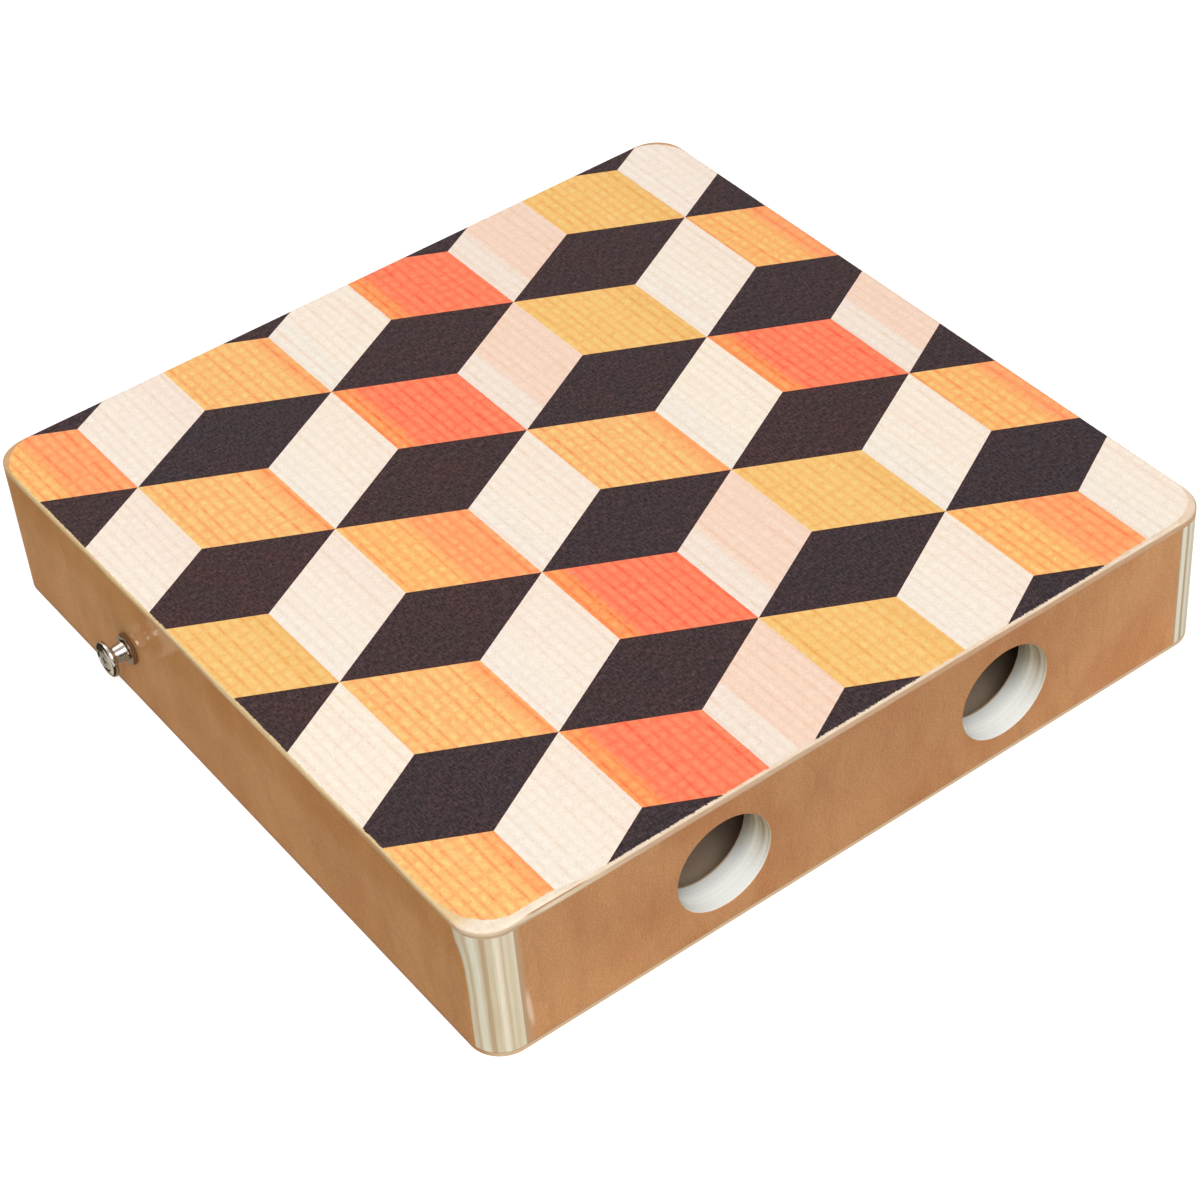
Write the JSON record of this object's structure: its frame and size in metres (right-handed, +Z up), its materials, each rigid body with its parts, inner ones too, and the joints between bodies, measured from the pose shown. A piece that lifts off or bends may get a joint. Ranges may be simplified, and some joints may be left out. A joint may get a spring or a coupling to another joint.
{
  "type": "travel cajon",
  "caption": "Shallow square wooden box drum with a patterned playing panel, round sound holes in the front wall, strap buttons on the sides and tensioned snare strings inside.",
  "frame": {"origin": "centre of the back panel's underside, where the drum rests", "axes": "+Z up through the playing panel, -Y to the front wall with the sound holes, +X to the right side wall"},
  "size_m": [0.32, 0.3, 0.057],
  "materials": {
    "printed_panel": "thin plywood, printed with a tumbling-blocks pattern, satin lacquer",
    "wall_plywood": "plywood with a brown face veneer and pale plies, satin lacquer",
    "back_plywood": "thin plywood, satin lacquer",
    "hardwood": "planed, unfinished",
    "chrome": "polished",
    "felt": "dark brown pressed felt",
    "steel": "zinc plated",
    "black_steel": "black oxide",
    "string_steel": "plain steel wire",
    "brass": "turned"
  },
  "bodies": {
    "case": {"tapa": "printed_panel", "back_panel": "back_plywood", "front_wall": "wall_plywood", "rear_wall": "wall_plywood", "left_wall": "wall_plywood", "right_wall": "wall_plywood", "strap_washer_left": "felt", "strap_washer_right": "felt", "strap_button_left": "chrome", "strap_button_right": "chrome", "strap_screw_left": "steel", "strap_screw_right": "steel", "string_rail": "hardwood", "guide_block": "hardwood", "bolt_washer_left": "steel", "bolt_washer_right": "steel", "snare_string_1": "string_steel", "snare_string_2": "string_steel", "snare_string_3": "string_steel", "snare_string_4": "string_steel", "ball_end_1": "brass", "ball_end_2": "brass", "ball_end_3": "brass", "ball_end_4": "brass"},
    "bolt_left": {"tension_bolt_left": "black_steel"},
    "bolt_right": {"tension_bolt_right": "black_steel"},
    "carrier_left": {"string_carrier_left": "steel", "clamp_screw_1": "black_steel", "clamp_screw_2": "black_steel"},
    "carrier_right": {"string_carrier_right": "steel", "clamp_screw_3": "black_steel", "clamp_screw_4": "black_steel"}
  },
  "joints": [
    {"name": "bolt_left_turn", "type": "hinge", "parent": "case", "child": "bolt_left", "pos_m": [-0.026, 0.149, 0.0444], "axis": [0, -1, 0], "range_deg": [-1800, 720]},
    {"name": "bolt_right_turn", "type": "hinge", "parent": "case", "child": "bolt_right", "pos_m": [0.026, 0.149, 0.0444], "axis": [0, -1, 0], "range_deg": [-1800, 720]},
    {"name": "carrier_left_slide", "type": "slide", "parent": "case", "child": "carrier_left", "axis": [0, 1, 0], "range_m": [-0.004, 0.0016], "deforming": ["snare_string_1", "snare_string_2"]},
    {"name": "carrier_right_slide", "type": "slide", "parent": "case", "child": "carrier_right", "axis": [0, 1, 0], "range_m": [-0.004, 0.0016], "deforming": ["snare_string_3", "snare_string_4"]}
  ],
  "couplings": [
    {"joint": "bolt_left_turn", "follows": "carrier_left_slide", "rad_per_m": 7854},
    {"joint": "bolt_right_turn", "follows": "carrier_right_slide", "rad_per_m": 7854}
  ]
}
